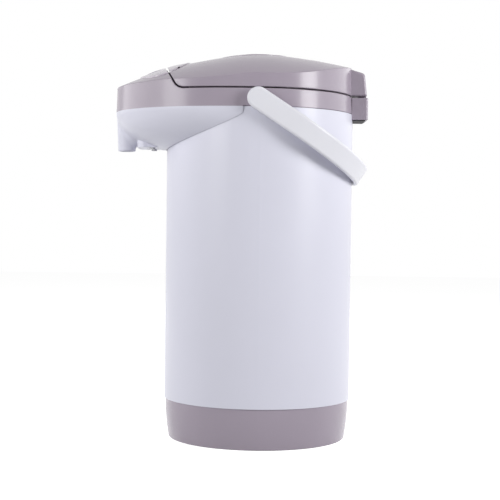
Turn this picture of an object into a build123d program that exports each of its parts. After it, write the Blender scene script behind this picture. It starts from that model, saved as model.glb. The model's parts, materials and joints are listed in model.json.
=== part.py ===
from build123d import *
from functools import cache
from math import atan2, cos, pi, radians, sin, sqrt, tan
import os

# Electric thermo pot, in millimetres. The origin is on the pot's axis at floor level.
# +Z is up, -Y is the front with the nozzle, +Y is the rear with the lid hinge.

# --- outer shell and base ---
shell_radius = 87.5
shell_wall = 1.5
shell_height = 267.0
base_height = 37.5  # floor to the seam under the shell
shell_top = base_height + shell_height
shell_bore = shell_radius - shell_wall
base_lift = 0.3  # the base's lower edge clears the floor by this
base_foot_radius = shell_radius - 4.4
base_belly_radius = shell_radius - 1.9
base_shoulder_radius = shell_radius - 1.1
base_wall = 2.5
deck_height = base_height - 6.5
deck_wall = 2.5
deck_top = deck_height + deck_wall
lip_height = 4.5  # lip of the base and of the collar inside the shell
lip_wall = 2.2
wire_hole_half = 8.0  # hole in the deck for the wires
wire_hole_front = 12.0
wire_hole_rear = 30.0

# --- head: plan outline is a rear circle, short straight sides and a long front half ellipse ---
nose_reach = shell_radius + 48.3
head_straight = 20.0
head_wall = 2.5
head_draft = 0.03  # inward lean of the side walls, per unit of height
head_round = 0.7  # rounding along the seams and edges of the head
collar_height = 16.1
collar_seam = 0.5  # groove between the shell and the collar, behind the spout cover
collar_deck = shell_top + collar_height
lid_gap = 1.3  # seam between collar and lid
lid_bottom = collar_deck + lid_gap
crown_radius = 1.77 * shell_radius  # crossways rounding of the head's top
# Ridge line of the head's top: place in shell radii from the axis, height above the collar's deck.
ridge_points = [
    (-1.6, 4.4),
    (-1.383, 12.6),
    (-1.2, 19.0),
    (-1.006, 25.3),
    (-0.777, 30.2),
    (-0.434, 36.0),
    (-0.069, 39.9),
    (0.297, 38.0),
    (0.686, 33.1),
    (1.2, 23.4),
]
lid_front_reach = shell_radius - 14.0  # lid's lower front edge from the axis
lid_front_lean = 31.0  # degrees that the front edge leans forward
lid_front_round = 9.0
seam_rib = 0.7  # height of the ribs that keep light out of the seam in front of the lid
seam_rib_width = 1.5
seam_rib_drop = 4.0  # lid's ribs end this far under the head's top, so that the lever can tilt
lid_rib_x = 20.0
collar_rib_x = 24.0
seam_rib_end = lid_front_reach - 7.5

# --- spout ---
bowl_run = 52.0  # how far the spout cover curves inward
bowl_depth = 34.5
bowl_power = 1.9
cover_wall = 2.2
cover_end = 15.7  # the cover's rear edges, in front of the axis
cover_seam = 0.5  # groove between the spout cover and the shell
nozzle_reach = nose_reach - 10.0
nozzle_tip_z = shell_top - 35.8
nozzle_tip_radius = 8.1
nozzle_root_radius = 9.8
nozzle_blend = 6.0  # where the nozzle's sleeve grows out of the cover
insert_radius = 6.5
insert_length = 24.0
nozzle_bore = 4.75
under_cover_z = shell_top - 32.8
under_cover_front = nose_reach - 20.9
under_cover_length = 19.0
under_cover_width = 40.0
under_cover_height = 12.3
under_cover_wall = 2.0
under_cover_round = 8.0
under_screw_x = 12.0
under_screw_inset = 5.0  # from the under-cover's rear edge
under_screw_head = 2.6
under_boss_radius = 3.4
under_boss_height = 8.0

# --- inner pot ---
pot_radius = shell_radius - 21.0  # inside
pot_wall = 0.8
pot_floor_z = deck_height + 45.0
pot_corner = 10.0
pot_flange_radius = shell_radius - 14.5
pot_flange_drop = 1.6  # flange's top face below the shell's top edge
flange_top = shell_top - pot_flange_drop
mouth_radius = shell_radius - 16.0
mouth_wall = 2.0
gasket_inner_radius = mouth_radius - 1.5
support_wall = 1.2
support_outer = pot_radius + pot_wall - pot_corner - 1
support_foot = 8.0
support_notch = 8.0
strainer_radius = 8.0
strainer_wall = 1.0
strainer_height = 3.0
strainer_hole = 1.0
strainer_circle = 4.5

# --- water path ---
pump_y = -26.0
motor_radius = 16.0
motor_height = 16.0
motor_foot = 6.0
volute_radius = 21.0
volute_height = 16.0
volute_wall = 2.0
impeller_radius = 16.5
impeller_height = 8.0
impeller_plate = 1.5
impeller_hub = 5.0
impeller_vane = 1.2
impeller_vanes = 6
shaft_radius = 1.5
port_radius = 5.0
port_wall = 1.0
inlet_stub = 4.0
outlet_stub = 6.0
stub_wall = 0.8
hose_wall = 1.5
tube_y = -(shell_radius - 9.2)
tube_radius = 4.8
tube_wall = 1.1
tube_bottom_z = pot_floor_z - 2.0
tube_top_z = shell_top - 42.5
sleeve_wall = 1.1
sleeve_length = 14.0
hose_bend = 9.0
hose_bore = 2.8
pipe_radius = 4.6
pipe_over = 6.5  # outlet pipe's run above the shell's top edge
float_radius = 3.3
float_length = 10.0
float_round = 1.5

# --- water-level window ---
window_width = 16.0
window_recess = 1.0
window_wall = 1.9
window_low_z = base_height + 26.5
window_high_z = shell_top - 42.5
window_lip = 2.5
bracket_wall = 1.2
bracket_inset = 22.0  # bracket's ends inside the window's ends

# --- heaters and electrics ---
heater_inner = 34.0
heater_gap = 4.1  # inside the pot support
heater_outer = support_outer - support_wall - heater_gap
heater_thickness = 3.0
band_thickness = 1.6
band_low_z = pot_floor_z + 19.0
band_height = 35.0
board_width = 80.0
board_length = 50.0
board_y = -30.0
board_z = deck_height - 11.0
board_thickness = 1.6
board_part_height = 12.0
board_post_radius = 2.5
board_post_inset = 6.0
thermostat_radius = 8.0
thermostat_height = 6.0
thermostat_y = 14.0
terminal_half = 0.4
terminal_x = 5.0
terminal_length = 6.0
fuse_radius = 2.0
fuse_half = 7.0
fuse_y = 27.0
inlet_width = 34.0
inlet_height = 18.0
inlet_z = base_height / 2 + 0.25
inlet_depth = 22.0
inlet_well = 12.0
inlet_rim = 3.0
inlet_pin_radius = 1.6
inlet_pin_pitch = 7.0

# --- fasteners ---
rod_circle = shell_radius - 7.5
rod_radius = 2.0
rod_turn = 25.0  # degrees from +X to the first tie rod
boss_radius = 4.2
nut_radius = 3.6
nut_height = 3.2
bottom_screw_circle = shell_radius - 19.5
bottom_screw_turn = 45.0
bottom_screw_length = 14.0
screw_radius = 1.5
screw_head_radius = 3.0
screw_head_height = 1.6
drive_half = 0.4  # cross recess in a screw's head
drive_reach = 1.8
drive_depth = 0.9
lid_screw_x = 0.63 * shell_radius
lid_screw_ys = (-0.434 * shell_radius, 0.48 * shell_radius)

# --- rubber foot ---
foot_outer = shell_radius - 17.5
foot_inner = foot_outer - 8.0
foot_height = 2.6
foot_seat = 2.0  # rim of the seat round the foot
bottom_wall = 2.2
slot_pitch = 8.0  # air slots in the bottom cover
slot_width = 3.0
slot_rear = 10.0
slot_front = 35.0

# --- lid ---
plug_gap = 2.0
plug_floor_rise = 1.5  # plug's bottom above the shell's top edge
plug_wall = 2.2
plug_bottom = shell_top + plug_floor_rise
plug_radius = mouth_radius - plug_gap
seal_width = 5.0
inner_lid_wall = 1.0
inner_lid_rim = 2.6
inner_lid_boss = 7.0
lid_plate_wall = 2.5
vent_y = 0.594 * shell_radius
vent_radius = 11.0
duct_radius = 6.0
duct_wall = 1.5
vent_depth = 8.0
vent_wall = 1.5
vent_slot_pitch = 3.6
vent_slot_half = 0.8
vent_slot_reach = 6.0

# --- manual air pump in the lid ---
press_y = -6.0
press_radius = 32.0
press_rise = 0.4
press_skirt = 14.0
press_wall = 2.5
press_drop = 8.0  # bellows' top below the plate's top
well_wall = 2.0
bellows_radius = 27.0
bellows_pleat = 5.0
bellows_wall = 1.2
bellows_pleats = 5
spring_radius = 12.0
spring_wire = 1.0
spring_turns = 6

# --- hinge ---
hinge_y = shell_radius + 8.8
hinge_z_rise = 3.9  # pin's axis above the collar's deck
hinge_width = 38.0
hinge_rear = hinge_y + 3.3
hinge_base_rear = hinge_y + 4.4
hinge_front = 0.8 * shell_radius
hinge_top_rise = 30.5  # block's top above the collar's deck, at its front
hinge_top_fall = 0.28  # slope of the block's top
hinge_drop = 4.8  # block's foot below the shell's top edge
hinge_pin_radius = 1.5
hinge_pin_inset = 2.0
knuckle_radius = 3.4
knuckle_width = 16.0
hinge_round = 4.0
hinge_lean = 2.2  # inward lean of the block's rear face
hinge_side_round = 2.2
hinge_cap_height = 0.7

# --- control oval: front half is the panel, rear half is the lid lever ---
oval_y = -(shell_radius + 1.5)
oval_half_width = 58.0
oval_half_length = 24.5
oval_rise = 1.1
oval_thickness = 2.6
oval_round = 0.8
panel_y = oval_y - 12.0
panel_sink = 5.0  # opening under the oval, inside its edge
panel_post_x = 30.0
panel_post_y = 4.0
panel_post_radius = 2.2
dispense_radius = 7.0
small_button_radius = 5.0
small_button_x = 23.0
small_button_y = 2.0
button_travel = 1.2
button_rise = 1.3
lens_radius = 1.3
lens_spacing = 9.0
lens_gap = 3.4  # from the dispense button's rim to the lenses' line
panel_board_depth = 11.0
panel_board_half = 34.0
panel_board_front = 9.0
panel_board_rear = 7.5
membrane_height = 2.0
membrane_web = 0.8

# --- lid lever and latch ---
lever_y = -(shell_radius - 13.0)
lever_z = collar_deck + 21.9
lever_arm_width = 8.0
lever_arm_depth = 3.0
lever_ear = 3.0  # half size of the ears round the pin
lever_ear_x = 6.5
lever_pin_radius = 1.2
lever_pin_half = 13.0
lever_trim = 0.9  # lever's front edge behind the lid's front face
lever_gap = 1.0  # lever's outline inside the oval, so that it can tilt
latch_width = 22.0
latch_thickness = 4.0
latch_length = 19.0
latch_nose = 0.9  # beyond the lid's front face
latch_bevel = 0.8
latch_room = 0.9  # between the lever's tip and the ends of its slot in the latch
arm_room_front = 4.5  # in front of the arm, so that it can swing
arm_room_rear = 6.5
pin_ear_width = 2.7  # ears under the tub that hold the pin
pin_ear_half = 3.5
tub_depth = 6.5

# --- bail handle ---
handle_y = -2.4
handle_rise = 7.0  # pivot above the shell's top edge
handle_side = 8.0  # handle's outer face beside the shell
handle_half_width = shell_radius + handle_side
handle_rest_gap = 1.2  # between the lowered handle and the shell's rear
handle_straight = 38.0
handle_thickness = 4.8
handle_band = 19.4
handle_edge = 2.3
handle_drop = 33.2  # degrees below level at rest
stud_radius = 5.0
stud_depth = 7.0
stud_flange_radius = 8.0

# --- clearances ---
touch = 0.1  # between pieces that sit in each other
slip = 0.3  # between pieces that move past each other
running = 0.05  # shafts and pins in their bores
sky = collar_deck + 60.0  # above everything on the head
wide = 2 * (nose_reach + handle_half_width)  # longer than the part


def rod(radius, low, high, x=0.0, y=0.0):
    """Upright round bar."""
    bar = Cylinder(radius, high - low, align=(Align.CENTER, Align.CENTER, Align.MIN))
    return Pos(x, y, low) * bar


def ring(outer, inner, low, high, x=0.0, y=0.0):
    return rod(outer, low, high, x, y) - rod(inner, low - 1, high + 1, x, y)


def block(x0, x1, y0, y1, z0, z1):
    box = Box(x1 - x0, y1 - y0, z1 - z0, align=(Align.MIN, Align.MIN, Align.MIN))
    return Pos(x0, y0, z0) * box


def slab(half, y0, y1, z0, z1):
    """Block centred on the midplane."""
    return block(-half, half, y0, y1, z0, z1)


def cross_bar(radius, x0, x1, y, z):
    """Round bar along X."""
    bar = Cylinder(radius, x1 - x0, align=(Align.CENTER, Align.CENTER, Align.MIN))
    return Pos(x0, y, z) * Rot(0, 90, 0) * bar


def turned(points):
    """Solid of revolution about Z from (radius, height) corners."""
    corners = Polyline(*[(r, 0, z) for r, z in points], close=True)
    return revolve(Face(Wire(corners.edges())), Axis.Z)


def around(count, radius, start=0.0):
    """Points on a circle about the axis."""
    angles = [radians(start + 360.0 * i / count) for i in range(count)]
    return [(radius * cos(a), radius * sin(a)) for a in angles]


def group(solids):
    return Compound(children=[s.solid() if hasattr(s, "solid") else s for s in solids])


# --- head surfaces ---
ridge = Spline(*[(share * shell_radius, collar_deck + rise) for share, rise in ridge_points])


@cache
def ridge_height(y):
    low, high = 0.0, 1.0
    for _ in range(40):
        middle = (low + high) / 2
        if ridge.position_at(middle).X < y:
            low = middle
        else:
            high = middle
    return ridge.position_at(low).Y


def sag(x):
    return crown_radius - sqrt(crown_radius**2 - x**2)


@cache
def under(lift):
    """Everything below the head's top surface raised by lift."""
    rows, columns = 25, 15
    half = shell_radius + 8.0
    grid = []
    for i in range(rows):
        point = ridge.position_at(i / (rows - 1))
        across = [-half + 2 * half * j / (columns - 1) for j in range(columns)]
        grid.append([(x, point.X, point.Y - sag(x) + lift) for x in across])
    top = Face.make_surface_from_array_of_points(grid, tol=0.01)
    return extrude(top, amount=sky - shell_top + bowl_depth, dir=(0, 0, -1))


def outline(inset, z):
    """Plan outline of the head, drawn inward by inset."""
    half = shell_radius - inset
    reach = nose_reach - head_straight - inset
    edges = [
        *CenterArc((0, 0), half, 0, 180).edges(),
        *Line((-half, 0), (-half, -head_straight)).edges(),
        *EllipticalCenterArc((0, -head_straight), half, reach, 180, arc_size=180).edges(),
        *Line((half, -head_straight), (half, 0)).edges(),
    ]
    return Pos(0, 0, z) * Face(Wire(edges))


@cache
def head_prism(inset, low, high):
    """Drafted prism on the head's outline."""
    sections = [outline(inset + head_draft * (z - shell_top), z) for z in (low, high)]
    return loft(sections, ruled=True)


@cache
def lid_block(grow):
    """The room the lid takes, seen from the side, widened by grow."""
    lean = tan(radians(lid_front_lean))
    low = lid_bottom - grow
    shift = lid_front_reach + grow / cos(radians(lid_front_lean))
    corners = [
        (0, -shift - (low - lid_bottom) * lean, low),
        (0, -shift - (sky - lid_bottom) * lean, sky),
        (0, nose_reach, sky),
        (0, nose_reach, low),
    ]
    side = FilletPolyline(*corners, radius=lid_front_round + grow, close=True)
    return extrude(Face(Wire(side.edges())), amount=wide / 2, dir=(1, 0, 0), both=True)


@cache
def oval(inset, low, high):
    """Upright prism on the control oval."""
    edge = EllipticalCenterArc(
        (0, oval_y), oval_half_width - inset, oval_half_length - inset, 0, arc_size=360
    )
    return Pos(0, 0, low) * extrude(Face(Wire(edge.edges())), amount=high - low)


# --- base ---
def make_base_housing():
    inner = base_shoulder_radius - base_wall
    bottom_inner = base_foot_radius - base_wall
    edges = [
        *Line((bottom_inner, base_lift), (base_foot_radius - 1, base_lift)).edges(),
        *Line((base_foot_radius - 1, base_lift), (base_foot_radius, base_lift + 0.8)).edges(),
        *ThreePointArc(
            (base_foot_radius, base_lift + 0.8),
            (base_belly_radius, base_height / 2),
            (base_shoulder_radius, base_height - 5),
        ).edges(),
        *Polyline(
            (base_shoulder_radius, base_height - 5),
            (base_shoulder_radius, base_height),
            (shell_bore - touch, base_height),
            (shell_bore - touch, base_height + lip_height),
            (shell_bore - touch - lip_wall, base_height + lip_height),
            (shell_bore - touch - lip_wall, base_height),
            (inner, base_height - 1),
            (inner, deck_height),
            (bottom_inner, base_lift),
        ).edges(),
    ]
    profile = Plane.XZ * Face(Wire(edges))
    wall = revolve(profile, Axis.Z)
    wire_hole = slab(wire_hole_half, wire_hole_front, wire_hole_rear, deck_height - 1, deck_top + 1)
    deck = rod(inner + 0.5, deck_height, deck_top) - wire_hole
    body = wall + deck
    for x, y in around(4, bottom_screw_circle, bottom_screw_turn):
        body += rod(boss_radius, cover_collar_top() + touch, deck_height, x, y)
        body -= rod(screw_radius, base_lift, deck_height - 8, x, y)
    for x, y in around(4, rod_circle, rod_turn):
        body -= rod(rod_radius + touch, deck_height - 1, deck_top + 1, x, y)
    for x, y in board_posts():
        body += rod(board_post_radius, board_z + board_thickness, deck_height, x, y)
    half = inlet_width / 2 + touch
    low, high = inlet_z - inlet_height / 2 - touch, inlet_z + inlet_height / 2 + touch
    return body - inlet_side(slab(half, inlet_back() + 1, wide, low, high))


def board_posts():
    dx, dy = board_width / 2 - board_post_inset, board_length / 2 - board_post_inset
    return [(sx * dx, board_y + sy * dy) for sx in (-1, 1) for sy in (-1, 1)]


def inlet_back():
    return base_foot_radius - inlet_depth


def inlet_side(shape):
    """Turns the inlet from the rear to its side of the base."""
    return Rot(0, 0, 90) * shape


def cover_low():
    return base_lift + slip


def cover_collar_top():
    """Top of the collars round the bottom cover's screws."""
    return cover_low() + bottom_wall + 1


def make_bottom_cover():
    radius = base_foot_radius - base_wall - touch
    low, high = cover_low(), cover_low() + bottom_wall
    cover = rod(radius, low, high)
    cover += ring(foot_outer + foot_seat, foot_inner - foot_seat, high - 0.5, foot_height + 1.2)
    cover -= ring(foot_outer + touch, foot_inner - touch, 0, foot_height + touch)
    for x, y in around(4, bottom_screw_circle, bottom_screw_turn):
        cover -= rod(screw_radius + touch, 0, 20, x, y)
        cover += ring(screw_head_radius + 1.5, screw_radius + touch, foot_height, cover_collar_top(), x, y)
        cover -= rod(screw_head_radius + touch, 0, high - 0.4, x, y)
    for i in range(-3, 4):
        x = i * slot_pitch
        cover -= block(x - slot_width / 2, x + slot_width / 2, -slot_front, slot_rear, 0, deck_height)
    return cover


def make_foot_ring():
    foot = ring(foot_outer, foot_inner, 0, foot_height)
    for x, y in around(4, bottom_screw_circle, bottom_screw_turn):
        foot -= rod(screw_head_radius + foot_seat, -1, foot_height + 1, x, y)
    return foot


def screw_drive(low, x, y):
    """Cross recess in a screw's head, from below."""
    along = slab(drive_half, -drive_reach, drive_reach, low - 1, low + drive_depth)
    across = slab(drive_reach, -drive_half, drive_half, low - 1, low + drive_depth)
    return Pos(x, y, 0) * (along + across)


def make_bottom_screws():
    low = cover_low()
    screws = []
    for x, y in around(4, bottom_screw_circle, bottom_screw_turn):
        head = rod(screw_head_radius, low + 0.2, low + 0.2 + screw_head_height, x, y)
        shank = rod(screw_radius - running, low + 1, low + bottom_screw_length, x, y)
        screws.append(head + shank - screw_drive(low + 0.2, x, y))
    return group(screws)


def make_power_inlet():
    half = inlet_width / 2
    low, high = inlet_z - inlet_height / 2, inlet_z + inlet_height / 2
    front = base_foot_radius + 0.6
    body = slab(half, inlet_back() + 1 + touch, front, low, high)
    body = fillet(body.edges().filter_by(Axis.Y), inlet_rim)
    rim = inlet_rim
    well = slab(half - rim, front - inlet_well, front + 1, low + rim, high - rim)
    well = fillet(well.edges().filter_by(Axis.Y), 2)
    return inlet_side(body - well) - inlet_pin_bars()


def inlet_pin_bars():
    back = inlet_back() - 2
    bars = None
    for x in (-inlet_pin_pitch, 0, inlet_pin_pitch):
        bar = Pos(x, back, inlet_z) * Rot(-90, 0, 0) * Cylinder(
            inlet_pin_radius,
            base_foot_radius - inlet_rim - back,
            align=(Align.CENTER, Align.CENTER, Align.MIN),
        )
        bars = bar if bars is None else bars + bar
    return inlet_side(bars)


def make_inlet_pins():
    return group(inlet_pin_bars().solids())


# --- electrics ---
def make_power_board():
    board = block(
        -board_width / 2,
        board_width / 2,
        board_y - board_length / 2,
        board_y + board_length / 2,
        board_z,
        board_z + board_thickness,
    )
    return board


def make_board_components():
    low = board_z - board_part_height
    width, length = board_width, board_length
    rear = board_y + 0.24 * length
    relay = block(-0.38 * width, -0.15 * width, board_y - 0.24 * length, board_y, low, board_z)
    transformer = block(0.03 * width, 0.32 * width, board_y - 0.28 * length, rear, low, board_z)
    capacitor = rod(0.09 * length, low, board_z, -0.1 * width, board_y + 0.32 * length)
    middle = (low + board_z) / 2
    connector = block(0.35 * width, 0.45 * width, board_y, rear, middle, board_z)
    return group([relay, transformer, capacitor, connector])


def make_boil_heater():
    top = pot_floor_z - touch
    return ring(heater_outer, heater_inner, top - heater_thickness, top)


def make_warm_heater():
    inner = pot_radius + pot_wall + touch
    band = ring(inner + band_thickness, inner, band_low_z, band_low_z + band_height)
    return band - slab(4, -wide, 0, 0, sky)


def make_thermostat():
    top = pot_floor_z - touch
    low = top - thermostat_height
    body = rod(thermostat_radius, low, top, 0, thermostat_y)
    half = thermostat_radius / 2 - 1
    for x in (-terminal_x, terminal_x):
        front, rear = thermostat_y - half, thermostat_y + half
        body += block(x - terminal_half, x + terminal_half, front, rear, low - terminal_length, low + 1)
    return body


def make_thermal_fuse():
    top = pot_floor_z - touch
    return cross_bar(fuse_radius, -fuse_half, fuse_half, fuse_y, top - fuse_radius)


# --- pot ---
def make_pot_support():
    inner = support_outer - support_wall
    skirt = ring(support_outer, inner, deck_top, pot_floor_z)
    skirt -= slab(support_notch, -wide, 0, pump_base() + motor_height, pot_floor_z - 6)
    skirt -= slab(support_notch, 0, wide, deck_top + support_notch, pot_floor_z - support_notch)
    return skirt + ring(support_outer + support_foot, inner, deck_top, deck_top + support_wall)


def make_inner_pot():
    outer = pot_radius + pot_wall
    body = rod(outer, pot_floor_z, flange_top)
    body = fillet(body.edges().group_by(Axis.Z)[0], pot_corner)
    hollow = rod(pot_radius, pot_floor_z + pot_wall, flange_top + 10)
    hollow = fillet(hollow.edges().group_by(Axis.Z)[0], pot_corner - pot_wall)
    port = rod(port_radius, pot_floor_z - 6, pot_floor_z + pot_wall, 0, pump_y)
    flange = rod(pot_flange_radius, flange_top - pot_wall, flange_top)
    pot = body + flange + port - hollow
    return pot - rod(port_radius - port_wall, 0, pot_floor_z + 5, 0, pump_y)


def make_pot_strainer():
    low = pot_floor_z + pot_wall + touch
    high = low + strainer_height
    dome = rod(strainer_radius, low, high, 0, pump_y)
    dome -= rod(strainer_radius - strainer_wall, low - 1, high - strainer_wall, 0, pump_y)
    for x, y in around(6, strainer_circle):
        dome -= rod(strainer_hole, low, high + 1, x, pump_y + y)
    return dome


def make_pot_gasket():
    outer = mouth_radius + mouth_wall - 0.4
    return ring(outer, gasket_inner_radius, flange_top, shell_top + 0.5)


def make_tie_rods():
    rods = [
        rod(rod_radius, deck_height - nut_height - 3, shell_top + collar_height - 6, x, y)
        for x, y in around(4, rod_circle, rod_turn)
    ]
    return group(rods)


def make_tie_nuts():
    nuts = []
    for x, y in around(4, rod_circle, rod_turn):
        hexagon = extrude(RegularPolygon(nut_radius, 6), amount=nut_height)
        low = deck_height - nut_height - touch
        hole = rod(rod_radius + running, low - 1, low + nut_height + 1, x, y)
        nuts.append(Pos(x, y, low) * hexagon - hole)
    return group(nuts)


# --- pump and water path ---
def pump_base():
    return deck_top + touch


def volute_low():
    return pump_base() + motor_height + touch


def make_pump_motor():
    motor = rod(motor_radius, pump_base(), pump_base() + motor_height, 0, pump_y)
    motor += slab(motor_radius + motor_foot, pump_y - 5, pump_y + 5, pump_base(), pump_base() + 2)
    top = pump_base() + motor_height
    return motor - rod(shaft_radius + running, top - 10, top + 1, 0, pump_y)


def make_pump_housing():
    low, high = volute_low(), volute_low() + volute_height
    body = rod(volute_radius, low, high, 0, pump_y)
    body += rod(port_radius, high, high + inlet_stub, 0, pump_y)
    body += front_stub(outlet_stub_radius(), volute_radius - 1, volute_radius + outlet_stub)
    inner = volute_radius - volute_wall
    body -= rod(inner, low + volute_wall, high - volute_wall, 0, pump_y)
    body -= rod(port_radius - port_wall, high - volute_wall - 1, high + 10, 0, pump_y)
    body -= front_stub(outlet_stub_radius() - stub_wall, inner - 3, volute_radius + outlet_stub + 1)
    return body - rod(shaft_radius + slip, low - 1, low + 10, 0, pump_y)


def outlet_stub_radius():
    return hose_bore - running


def outlet_z():
    return volute_low() + volute_height / 2


def front_stub(radius, near, far):
    """Round bar pointing forward from the pump's axis."""
    bar = Cylinder(radius, far - near, align=(Align.CENTER, Align.CENTER, Align.MIN))
    return Pos(0, pump_y - near, outlet_z()) * Rot(90, 0, 0) * bar


def make_pump_impeller():
    low = volute_low() + volute_wall + 2
    high = low + impeller_height
    wheel = rod(impeller_radius, low, low + impeller_plate, 0, pump_y)
    wheel += rod(impeller_hub, low, high, 0, pump_y)
    for i in range(impeller_vanes):
        vane = slab(impeller_vane / 2, impeller_hub - 1, impeller_radius - 1, low, high)
        wheel += Pos(0, pump_y, 0) * Rot(0, 0, 360 / impeller_vanes * i) * vane
    shaft_low = pump_base() + motor_height - 9
    return wheel + rod(shaft_radius, shaft_low, low + 1, 0, pump_y)


def make_inlet_hose():
    low = volute_low() + volute_height + touch
    high = pot_floor_z - touch
    return ring(port_radius + running + hose_wall, port_radius + running, low, high, 0, pump_y)


def swept_tube(points, outer, inner, bend):
    """Tube along straight runs joined by round bends."""
    path = FilletPolyline(*points, radius=bend)
    start = Plane(origin=path @ 0, z_dir=path % 0)
    tube = sweep(start * Circle(outer), path=path)
    return tube - sweep(start * Circle(inner), path=path)


def make_outlet_hose():
    route = [
        (0, pump_y - volute_radius - touch, outlet_z()),
        (0, tube_y, outlet_z()),
        (0, tube_y, tube_bottom_z),
    ]
    return swept_tube(route, tube_radius, hose_bore, hose_bend)


def make_level_tube():
    inner = tube_radius - tube_wall
    return ring(tube_radius, inner, tube_bottom_z, tube_top_z, 0, tube_y)


def make_tube_sleeves():
    outer = tube_radius + running + sleeve_wall
    inner = tube_radius + running
    half = sleeve_length / 2
    low = ring(outer, inner, tube_bottom_z - 2, tube_bottom_z + half + 3, 0, tube_y)
    high = ring(outer, inner, tube_top_z - half, tube_top_z + half, 0, tube_y)
    return group([low, high])


def make_level_float():
    low = tube_bottom_z + slip
    body = rod(float_radius, low, low + float_length, 0, tube_y)
    return fillet(body.edges(), float_round)


def make_tube_bracket():
    half = window_width / 2 + window_lip + 1.5
    back = tube_y + tube_radius + slip
    low, high = window_low_z + bracket_inset, window_high_z - bracket_inset
    room = rod(shell_bore - touch, low, high)
    channel = slab(half + bracket_wall, -wide / 2, back + bracket_wall, low, high)
    channel -= slab(half, -wide / 2, back, low - 1, high + 1)
    return channel & room


def make_outlet_pipe():
    over = shell_top + pipe_over
    route = [
        (0, tube_y, tube_top_z),
        (0, tube_y, over),
        (0, -nozzle_reach, over),
        (0, -nozzle_reach, nozzle_tip_z + 5),
    ]
    return swept_tube(route, pipe_radius, hose_bore, hose_bend)


# --- shell and window ---
def window_slot(half, low, high):
    """Upright slot with round ends through the front of the shell."""
    bar = slab(half, -shell_radius - 5, tube_y, low + half, high - half)
    for z in (low + half, high - half):
        end = Cylinder(half, 5 + shell_radius + tube_y, align=(Align.CENTER, Align.CENTER, Align.MIN))
        bar += Pos(0, tube_y, z) * Rot(90, 0, 0) * end
    return bar


def make_outer_shell():
    shell = ring(shell_radius, shell_bore, base_height, shell_top)
    return shell - window_slot(window_width / 2, window_low_z, window_high_z)


def make_level_window():
    inner = shell_radius - window_recess - window_wall
    half = window_width / 2 - touch
    face = ring(shell_radius - window_recess, inner, 0, sky)
    face &= window_slot(half, window_low_z + touch, window_high_z - touch)
    lip = ring(shell_bore - touch, inner, 0, sky)
    low, high = window_low_z - window_lip, window_high_z + window_lip
    return face + (lip & window_slot(half + window_lip, low, high))


# --- collar and spout ---
def make_collar():
    body = head_prism(0, shell_top, sky) & under(0)
    body -= lid_block(lid_gap)
    rims = [e for e in body.edges() if e.bounding_box().max.Z > shell_top + 1]
    body = fillet(rims, head_round)
    hollow = head_prism(head_wall, shell_top - 2, sky) & under(-head_wall)
    hollow -= lid_block(lid_gap + head_wall)
    body -= hollow
    body += seam_ribs(lid_gap - seam_rib, lid_gap + 1, collar_rib_x)
    body += ring(mouth_radius + mouth_wall, mouth_radius, shell_top + 0.5, collar_deck)
    body -= rod(mouth_radius, shell_top - 5, sky)
    outside = ring(wide, shell_bore - touch, shell_top - 1, shell_top + collar_seam)
    body -= outside & block(-wide, wide, -cover_end, wide, 0, sky)
    lip = ring(shell_bore - touch, shell_bore - touch - lip_wall, shell_top - lip_height, shell_top + 3)
    body += lip & block(-wide, wide, -cover_end + 4, wide, 0, sky)
    for x, y in around(4, rod_circle, rod_turn):
        body += rod(boss_radius, shell_top, collar_deck - 1, x, y)
        body -= rod(rod_radius + touch, shell_top - 10, shell_top + collar_height - 5, x, y)
    for side in (-1, 1):
        ends = sorted((side * (mouth_radius + mouth_wall - slip), side * (shell_radius - 1)))
        body += cross_bar(handle_rise - touch, *ends, handle_y, handle_z())
        ends = sorted((side * (shell_radius - stud_depth - 1), side * wide))
        body -= cross_bar(stud_radius + running, *ends, handle_y, handle_z())
    body -= oval(-slip, shell_top, sky) - under(oval_rise - oval_thickness - touch)
    return body - panel_opening()


def seam_ribs(near, far, x):
    """Pair of low ribs that stand in the seam in front of the lid."""
    band = (lid_block(far) - lid_block(near)) & under(-1)
    ribs = []
    for side in (-1, 1):
        x0, x1 = sorted((side * x, side * (x + seam_rib_width)))
        ribs.append(band & block(x0, x1, -wide, -seam_rib_end, collar_deck - 1, sky))
    return ribs[0] + ribs[1]


def panel_opening():
    """Hole in the hood under the control panel, for the buttons."""
    rim = head_wall + lid_gap + 3
    seam = lid_front_reach + (ridge_height(panel_y) - lid_bottom) * tan(radians(lid_front_lean))
    front = oval(panel_sink, shell_top, sky) & slab(wide, -wide, -seam - rim, shell_top, sky)
    return front & slab(wide, -wide, wide, collar_deck + 1, sky)


def bowl(inset):
    """Round-bottomed front form: half ellipses that shrink on the way down."""
    steps = 6
    sections = []
    for i in range(steps + 1):
        turn = pi / 2 * i / steps
        run = bowl_run * (1 - cos(turn) ** (2 / bowl_power)) if i < steps else bowl_run
        drop = bowl_depth * sin(turn) ** (2 / bowl_power)
        half = shell_radius - run - inset
        reach = nose_reach - head_straight - run - inset
        edge = EllipticalCenterArc((0, 0), half, reach, 90, arc_size=360)
        z = shell_top - drop + inset * sin(turn)
        sections.append(Pos(0, -head_straight, z) * Face(Wire(edge.edges())))
    return loft(sections)


def under_cover_room(inset, low=under_cover_z):
    half = under_cover_width / 2 - inset
    front = -under_cover_front + inset
    rear = -under_cover_front + under_cover_length - inset
    room = slab(half, front, rear, low, under_cover_z + under_cover_height - inset)
    return fillet(room.edges().filter_by(Axis.Z).group_by(Axis.Y)[0], under_cover_round - inset)


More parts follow.
